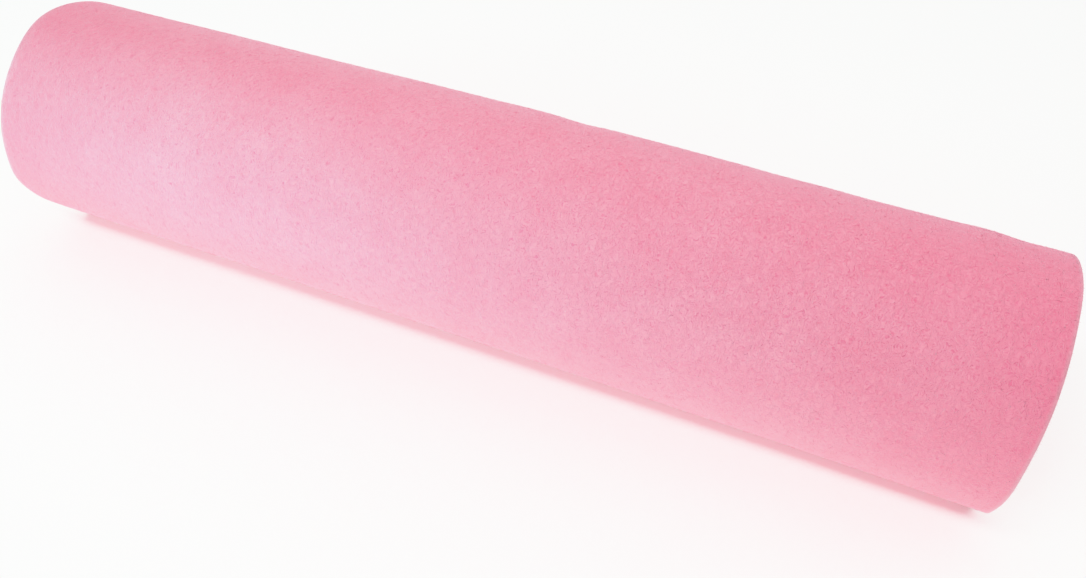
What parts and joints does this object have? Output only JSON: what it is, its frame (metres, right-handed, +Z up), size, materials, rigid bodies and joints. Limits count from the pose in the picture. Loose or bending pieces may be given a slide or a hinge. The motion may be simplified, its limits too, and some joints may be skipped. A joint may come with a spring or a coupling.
{
  "type": "roll of felt",
  "caption": "Roll of soft felt lying on its side: a wide strip wound tightly on itself, with a small eye and a flat spot to rest on.",
  "frame": {"origin": "middle of the roll's box, at the level of the surface it lies on", "axes": "+X along the roll, +Z up, -Y towards the front; the strip's outer cut edge lies low at the back (+Y)"},
  "size_m": [0.4542, 0.106, 0.1022],
  "materials": {
    "pink_felt": "matte, soft and slightly fuzzy felt"
  },
  "bodies": {
    "root": {"felt_roll": "pink_felt"}
  },
  "joints": []
}
